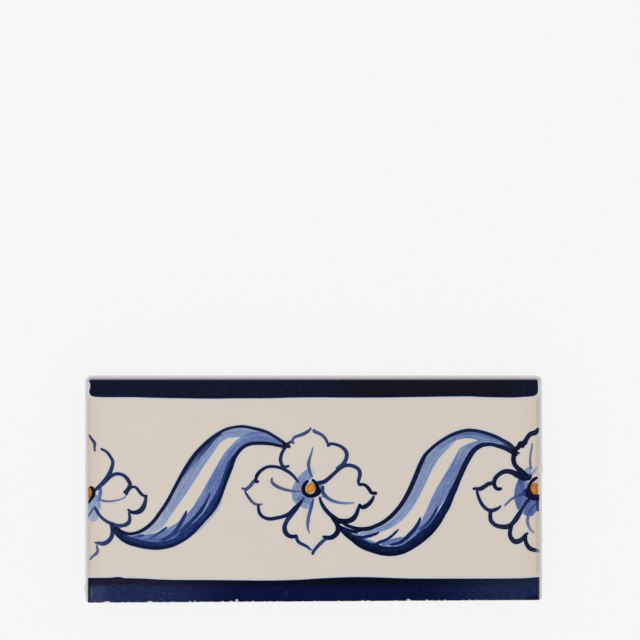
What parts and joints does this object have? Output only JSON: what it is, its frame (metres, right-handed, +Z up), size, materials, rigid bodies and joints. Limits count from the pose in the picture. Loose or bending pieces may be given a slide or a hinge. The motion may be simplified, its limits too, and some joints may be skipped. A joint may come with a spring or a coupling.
{
  "type": "azulejo border tile",
  "caption": "Half of a square pressed wall tile, sawn lengthwise, glazed white with a blue hand-painted border of flower heads and scrolled leaves.",
  "frame": {"origin": "centre of the outline's box on the back's bearing plane, so the tile lies on its back on Z = 0", "axes": "+X along the painted border, +Y across it to the pressed top edge, +Z up out of the glazed face"},
  "size_m": [0.15, 0.0742, 0.0075],
  "materials": {
    "glaze": "gloss"
  },
  "bodies": {
    "root": {"tile": "glaze"}
  },
  "joints": []
}
